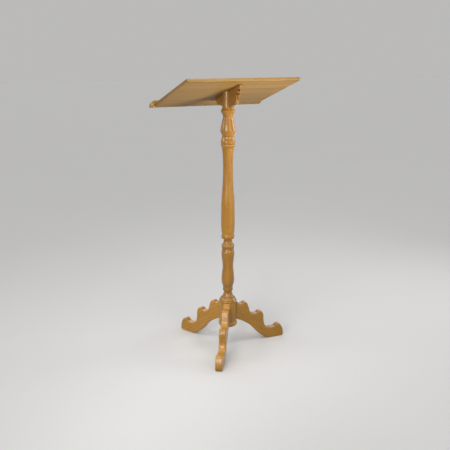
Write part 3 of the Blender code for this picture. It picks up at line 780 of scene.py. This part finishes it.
def sawn_leg(name, axes):
    """Leg cut square at its root once its edges are rounded, with its dovetail tongue."""
    root = DRUM_FLAT + CLEARANCE
    top = DRUM_TOP - CLEARANCE
    bottom = DRUM_BOTTOM + LEG_LIFT
    sawn = [(u * LEG_REACH, v * top, math.radians(way)) for u, v, way in LEG_OUTLINE]
    ends = [(root, top, LEG_TOP_WAY), (root, bottom, LEG_FOOT_WAY)]
    spare = [(y - LEG_SPARE, z - LEG_SPARE * math.tan(way), way) for y, z, way in ends]
    path = scrolled([spare[0], ends[0]] + sawn + [ends[1], spare[1]])
    piece = slab(name, inset(path, HAIR), LEG_THICKNESS - 2 * HAIR, LEG_EASE, axes)
    wide, back = LEG_THICKNESS, root - 2 * LEG_SPARE
    waste = [(-wide, back), (wide, back), (wide, root), (-wide, root)]
    work(piece, post("waste", waste, 0.0, 2 * top, axes))
    tongue = dovetail(DRUM_FLAT - TONGUE_DEPTH, root + LAP, 0.0)
    work(piece, post("tongue", tongue, bottom + HAIR, DRUM_TOP - TONGUE_STOP - CLEARANCE, axes), "UNION")
    return piece


def legs(honey):
    """Three scroll-sawn legs, their grain running out and down along each."""
    fall = Matrix.Rotation(LEG_GRAIN_FALL, 4, "X")
    # Each leg's tone is partly painted light and shade.
    for seed, (side, tone) in enumerate(LEG_TONES.items(), SEEDS["legs"]):
        piece = sawn_leg(f"sawn_leg_{side}", leg_axes(side))
        shade(piece)
        grow(piece, leg_axes(side) @ fall, seed, tone)
        finished(piece, f"leg_{side}", honey)


def under_board(y):
    """Height of the board's underside over the head's foot, less the room left under it."""
    return HEAD_HEIGHT + y * math.tan(DESK_PITCH) - CLEARANCE / math.cos(DESK_PITCH)


def pin_place(node, axes, along):
    """Axes with local Z along a dowel or screw, from its low end, and its length and radius."""
    low, high = box_in(node, axes)
    start = (low + high) / 2
    start[along] = low[along]
    turn = Matrix.Rotation(math.radians(-90), 4, "X") if along == 1 else Matrix()
    return axes @ Matrix.Translation(start) @ turn, high[along] - low[along], (high.x - low.x) / 2


def dowel_hole(node, axes):
    """Cutter for the blind holes that a dowel fills."""
    place, length, radius = pin_place(node, axes, 1)
    return drill(place, radius + CLEARANCE, -CLEARANCE, length + CLEARANCE, DOWEL_HOLE_SIDES)


def soften_foot(piece):
    """Rounds the lower edge of the head."""
    foot = min(v.co.z for v in piece.data.vertices)
    mesh = bmesh.new()
    mesh.from_mesh(piece.data)
    rim = [e for e in mesh.edges if all(v.co.z < foot + CLEARANCE for v in e.verts)]
    bmesh.ops.bevel(mesh, geom=rim, offset=WING_EASE, segments=3, profile=0.5, affect="EDGES")
    mesh.to_mesh(piece.data)
    mesh.free()


def head_block(honey):
    """Round block on the spigot: top cut to the slope, flats planed for the wings, foot eased."""
    wide = WING_THICKNESS / 2 + CLEARANCE
    side = -2 * math.asin(HEAD_FLAT / HEAD_RADIUS)
    left = [(-wide, HEAD_FLAT, side), (-wide, -HEAD_FLAT, 0.0)]
    right = [(wide, -HEAD_FLAT, side), (wide, HEAD_FLAT, 0.0)]
    plan = outline(left + right)
    piece = prism("head_round", plan, lambda x, y: CLEARANCE, lambda x, y: under_board(y), SWIVEL)
    soften_foot(piece)
    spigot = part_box("column_upper")[1].z - COLUMN_TOP + CLEARANCE
    work(piece, drill(SWIVEL, TENON_RADIUS + CLEARANCE, -LAP, spigot, BORE_SIDES))
    for number in DOWELS:
        work(piece, dowel_hole(f"wing_dowel_{number}", SWIVEL))
    shade(piece)
    grow(piece, Matrix(), SEEDS["head_block"], HEAD_TONE)
    finished(piece, "head_block", honey)


def screw_hole(node):
    """Cutter for a wing's screw hole, counterbored from below."""
    place, length, radius = pin_place(node, SLOPE, 2)
    wide = radius + CLEARANCE
    narrow = SCREW_RADIUS + CLEARANCE
    below = -2 * HEAD_HEIGHT
    counterbore = [(0, below), (wide, below), (wide, 0)]
    shank = [(narrow, SCREW_HEAD_HEIGHT), (narrow, length), (0, length)]
    return lathe("hole", counterbore + shank, place, SCREW_HOLE_SIDES)


def paint_notch_shade(piece, notches, side):
    """Paints shade into the tight notches of a sawn edge, as a dark mark on their faces."""
    data = piece.data
    spots = spots_in(data, SWIVEL)
    held = np.zeros(len(spots))
    for start, end in notches:
        middle = np.array([side * (start[0] + end[0]) / 2, (start[1] + end[1]) / 2])
        radius = math.dist(start[:2], end[:2]) / 2
        away = np.linalg.norm(spots[:, 1:] - middle, axis=1) / radius
        held = np.maximum(held, np.clip((NOTCH_REACH - away) / NOTCH_FADE, 0, 1))
    corners = np.empty(len(data.loops), np.int32)
    data.loops.foreach_get("vertex_index", corners)
    aside = np.abs(facing(piece, SWIVEL)[:, 0])
    data.attributes.remove(data.attributes["hollow_stain_and_shade"])
    mark(piece, "hollow_stain_and_shade", "FLOAT", "CORNER", held[corners] * (aside < FLANK_FACING))


def wing(node, side, reach, corners, honey):
    """Sawn bracket between the head and the board, with its counterbored screw hole."""
    tip = (reach, under_board(side * reach), WING_TIP_ARC)
    top = (WING_ROOT, under_board(side * WING_ROOT), 0.0)
    foot = (WING_ROOT, WING_LIFT, 0.0)
    sawn = [(u * reach, v * HEAD_HEIGHT, math.radians(turn)) for u, v, turn in corners]
    path = soften(outline([top, tip] + sawn + [foot]), 2 * WING_EASE)
    if side < 0:
        path = [(-y, z) for y, z in reversed(path)]
    piece = slab("sawn_" + node, path, WING_THICKNESS, WING_EASE, SWIVEL)
    for number in ((1, 2) if side > 0 else (3, 4)):
        work(piece, dowel_hole(f"wing_dowel_{number}", SWIVEL))
    work(piece, screw_hole("board_screw_high" if side > 0 else "board_screw_low"))
    shade(piece)
    grow(piece, SWIVEL @ Matrix.Rotation(WING_GRAIN_FALL, 4, "X"), SEEDS[node], WING_TONE)
    # Painted shade in the tight notches of its edge.
    paint_notch_shade(piece, [(a, b) for a, b in zip(sawn, sawn[1:]) if a[2] < -NOTCH_SWEEP], side)
    finished(piece, node, honey)


def screw_bite(node):
    """Cutter for the pilot hole of a screw's point in the board."""
    place, length, _ = pin_place(node, SLOPE, 2)
    return drill(place, SCREW_RADIUS + CLEARANCE, length / 3, length + CLEARANCE, PILOT_SIDES)


def ledge_dowel_holes():
    """Cutters for the holes between the lowest stave and the ledge."""
    return [dowel_hole(f"ledge_dowel_{number}", SLOPE) for number in DOWELS]


def plank(node, piece, holes, seed, tones, finish):
    """Drills and finishes a piece of the board: its tone runs across, its ends and underside are dull."""
    for hole in holes:
        work(piece, hole)
    shade(piece)
    low, high = box_in(node, SLOPE)
    tone = np.interp(spots_in(piece.data, SLOPE)[:, 1], (low.y, high.y), tones)
    grow(piece, SLOPE @ Matrix.Rotation(math.radians(90), 4, "Y"), seed, tone)
    way = facing(piece, SLOPE)
    dull = np.maximum(np.abs(way[:, 0]), -way[:, 2])
    mark(piece, "bare", "FLOAT", "CORNER", np.clip(dull, 0, 1))
    finished(piece, node, finish)


def staves(finish):
    """Five edge-glued staves, the first with its high edge rounded over."""
    screws = {1: "board_screw_high", 3: "board_screw_low"}
    for i, tones in enumerate(STAVE_TONES):
        low, high = box_in(f"stave_{i + 1}", SLOPE)
        ease = BOARD_EASE if i == 0 else GLUE_EASE
        glued = [(low.y, low.z, GLUE_EASE), (low.y, high.z, GLUE_EASE)]
        path = rounded(glued + [(high.y, high.z, ease), (high.y, low.z, ease)])
        piece = slab(f"planed_stave_{i + 1}", path, high.x - low.x, STAVE_END_EASE, SLOPE)
        holes = [screw_bite(screws[i])] if i in screws else []
        if i == len(STAVE_TONES) - 1:
            holes += ledge_dowel_holes()
        plank(f"stave_{i + 1}", piece, holes, SEEDS["staves"] + i, tones, finish)


def book_ledge(finish):
    """Strip along the low edge that stands up to hold a book, its upper corners rounded off."""
    low, high = box_in("book_ledge", SLOPE)
    left = [(low.x, low.z, LEDGE_FOOT_ROUND), (low.x, high.z, LEDGE_END_ROUND)]
    right = [(high.x, high.z, LEDGE_END_ROUND), (high.x, low.z, LEDGE_FOOT_ROUND)]
    path = inset(rounded(left + right), HAIR)
    turn = Matrix.Translation((0, (low.y + high.y) / 2, 0)) @ Matrix.Rotation(math.radians(90), 4, "Z")
    piece = slab("rounded_ledge", path, high.y - low.y - 2 * HAIR, LEDGE_EASE, SLOPE @ turn)
    plank("book_ledge", piece, ledge_dowel_holes(), SEEDS["book_ledge"], LEDGE_TONES, finish)


def dowel(node, axes, seed, pegwood):
    """Fluted dowel with eased ends."""
    place, length, radius = pin_place(node, axes, 1)
    ease = radius / 4
    rise = [ease + (length - 2 * ease) * i / DOWEL_RINGS for i in range(DOWEL_RINGS + 1)]
    flank = [(radius - ease, 0)] + [(radius, z) for z in rise] + [(radius - ease, length)]

    def flute(angle, height):
        return FLUTE_DEPTH * radius * max(0.0, math.cos(FLUTES * angle)) ** FLUTE_POWER

    piece = lathe("fluted_" + node, [(0, 0)] + flank + [(0, length)], place, DOWEL_SIDES, flute)
    shade(piece)
    grow(piece, place, seed)
    finished(piece, node, pegwood)


def screw(node, axes, bright):
    """Countersunk wood screw with a driven slot and a cut thread."""
    place, length, radius = pin_place(node, axes, 2)
    plain = SCREW_HEAD_HEIGHT + PLAIN_SHANK
    point = length - 2 * SCREW_RADIUS
    rise = [plain + (point - plain) * i / THREAD_RINGS for i in range(THREAD_RINGS + 1)]
    head = [(0, 0), (radius - SCREW_RIM, 0), (radius, SCREW_RIM), (SCREW_RADIUS, SCREW_HEAD_HEIGHT)]
    tip = [(SCREW_RADIUS / 4, length), (0, length)]

    def thread(angle, height):
        if height < plain or height > point:
            return 0.0
        return THREAD_DEPTH * abs(2 * math.modf(height / THREAD_PITCH - angle / math.tau + 1)[0] - 1)

    shank = [(SCREW_RADIUS, z) for z in rise]
    piece = lathe("driven_" + node, head + shank + tip, place, SCREW_SIDES, thread)
    half, reach = SLOT_HALF_WIDTH, SLOT_REACH
    plan = [(-half, -reach), (half, -reach), (half, reach), (-half, reach)]
    # Each size of screw stops at an angle of its own.
    driven = Matrix.Rotation(math.radians(radius * 1e4 + length * 1e3), 4, "Z")
    work(piece, post("slot", plan, -SLOT_DEPTH, SLOT_DEPTH, place @ driven))
    shade(piece)
    finished(piece, node, bright)


def lectern():
    """All the pieces, each in its finish."""
    honey = wood("honey_turned", HONEY_TURNED, ring_width=0.0031, figure=0.2, roughness=0.34,
                 coat=1.0, haze=0.24, thirst=0.45)
    sawn = wood("honey_sawn", HONEY_SAWN, ring_width=0.0036, figure=0.26, roughness=0.36,
                coat=0.9, haze=0.31, thirst=0.45)
    planed = wood("honey_board", HONEY_BOARD, ring_width=0.004, figure=0.45, roughness=0.42,
                  coat=0.8, haze=0.26, thirst=0.5)
    pegwood = wood("bare_dowel", BARE_DOWEL, ring_width=0.0025, figure=0.5, roughness=0.6,
                   coat=0.0, haze=0.3, thirst=0.3)
    bright = steel("bright_steel")
    lower_column(honey)
    upper_column(honey)
    base_cap(honey)
    legs(sawn)
    head_block(honey)
    wing("wing_high", 1, WING_UP_REACH, WING_UP_OUTLINE, sawn)
    wing("wing_low", -1, WING_DOWN_REACH, WING_DOWN_OUTLINE, sawn)
    staves(planed)
    book_ledge(planed)
    for number in DOWELS:
        dowel(f"wing_dowel_{number}", SWIVEL, SEEDS["wing_dowels"] + number, pegwood)
        dowel(f"ledge_dowel_{number}", SLOPE, SEEDS["ledge_dowels"] + number, pegwood)
    screw("board_screw_high", SLOPE, bright)
    screw("board_screw_low", SLOPE, bright)
    screw("cap_screw", Matrix(), bright)


# Studio.
def photograph():
    """The camera, where the photograph was taken from."""
    away = Vector((-math.cos(CAMERA_ANGLE), -math.sin(CAMERA_ANGLE), 0))
    side = Vector((away.y, -away.x, 0))
    level = math.cos(CAMERA_YAW) * away - math.sin(CAMERA_YAW) * side
    ahead = level * math.cos(CAMERA_PITCH) - Vector((0, 0, math.sin(CAMERA_PITCH)))
    right = math.cos(CAMERA_YAW) * side + math.sin(CAMERA_YAW) * away
    stand = Matrix((right, right.cross(ahead), -ahead)).transposed().to_4x4()
    stand.translation = -CAMERA_DISTANCE * away + Vector((0, 0, CAMERA_HEIGHT))
    camera = bpy.data.objects.new("camera", bpy.data.cameras.new("camera"))
    camera.matrix_world = stand
    camera.data.sensor_width = SENSOR
    camera.data.lens = FOCAL_LENGTH / IMAGE_SIZE * SENSOR
    bpy.context.scene.collection.objects.link(camera)
    bpy.context.scene.camera = camera


def softbox(name, turn, height, distance, aim, size, power, spread, glint=True):
    """A soft lamp, its turn counted to the right of the camera, that faces a height on the column."""
    angle = CAMERA_ANGLE + math.radians(turn)
    place = Vector((math.cos(angle) * distance, math.sin(angle) * distance, height))
    way = place - Vector((0, 0, aim))
    lamp = bpy.data.lights.new(name, "AREA")
    lamp.shape = "RECTANGLE"
    lamp.size, lamp.size_y = size
    lamp.energy = power
    lamp.spread = math.radians(spread)
    holder = bpy.data.objects.new(name, lamp)
    holder.location = place
    holder.rotation_euler = way.to_track_quat("Z", "Y").to_euler()
    holder.visible_camera = False
    holder.visible_glossy = glint
    bpy.context.scene.collection.objects.link(holder)


def looked_at(wire):
    """1 where a surface is seen, straight or in gloss or glass, and 0 where it only throws light back."""
    seen = wire.node("ShaderNodeLightPath", {}, {}, "Is Camera Ray")
    for way in ("Is Glossy Ray", "Is Transmission Ray"):
        seen = wire.maths("MAXIMUM", seen, wire.node("ShaderNodeLightPath", {}, {}, way))
    return seen


def floor():
    """A plain pale floor far wider than the view."""
    reach = FLOOR_REACH
    corners = [(-reach, -reach, 0), (reach, -reach, 0), (reach, reach, 0), (-reach, reach, 0)]
    ground = new_piece("floor", corners, [(0, 1, 2, 3)])
    pale, wire, surface = new_material("pale_floor", {"Roughness": 0.9, "Specular IOR Level": 0.1})
    spot = wire.node("ShaderNodeTexCoord", {}, {}, "Object")
    tint = spot.noise(FLOOR_SWELLS, detail=3.0).blend(*FLOOR_TINTS)
    looked_at(wire).blend(FLOOR_BOUNCE, tint).feed(surface["Base Color"])
    ground.data.materials.append(pale)


def daylight(name, turn, rise, spread, strength):
    """Even light from so wide a patch of sky that its shadows are soft."""
    angle = CAMERA_ANGLE + math.radians(turn)
    level = math.cos(math.radians(rise))
    way = Vector((math.cos(angle) * level, math.sin(angle) * level, math.sin(math.radians(rise))))
    lamp = bpy.data.lights.new(name, "SUN")
    lamp.energy = strength
    lamp.angle = math.radians(spread)
    holder = bpy.data.objects.new(name, lamp)
    holder.rotation_euler = way.to_track_quat("Z", "Y").to_euler()
    bpy.context.scene.collection.objects.link(holder)


def surroundings():
    """Pale room: its light on the lectern, and the plain backdrop that is seen past it."""
    world = bpy.data.worlds.new("studio")
    bpy.context.scene.world = world
    world.use_nodes = True
    air = world.node_tree.nodes["Background"]
    looked_at(Wire(world.node_tree)).blend(ROOM_LIGHT, BACKDROP).feed(air.inputs["Color"])


def studio():
    """Camera, pale room and soft lamps, at a plain level of light."""
    photograph()
    floor()
    surroundings()
    softbox("window_left", turn=-33, height=1.25, distance=2.6, aim=0.8,
            size=(0.7, 1.3), power=5.0, spread=85)
    softbox("window_right", turn=33, height=1.3, distance=2.6, aim=0.85,
            size=(0.6, 1.3), power=2.6, spread=80)
    softbox("window_side", turn=104, height=1.4, distance=3.0, aim=0.5,
            size=(1.0, 1.1), power=7.0, spread=100)
    softbox("window_front", turn=-17, height=1.1, distance=2.4, aim=0.1,
            size=(0.46, 1.1), power=1.1, spread=40)
    softbox("window_end", turn=-88, height=1.75, distance=2.2, aim=1.0,
            size=(0.8, 0.8), power=4.0, spread=120)
    softbox("glow_under_board", turn=60, height=0.5, distance=1.5, aim=1.25,
            size=(0.8, 0.8), power=2.7, spread=50, glint=False)
    daylight("skylight", turn=-15, rise=74, spread=50, strength=0.95)
    daylight("sky_behind", turn=186, rise=40, spread=40, strength=0.5)
    bpy.context.scene.view_settings.view_transform = "Standard"


lectern()
studio()
bpy.context.view_layer.update()
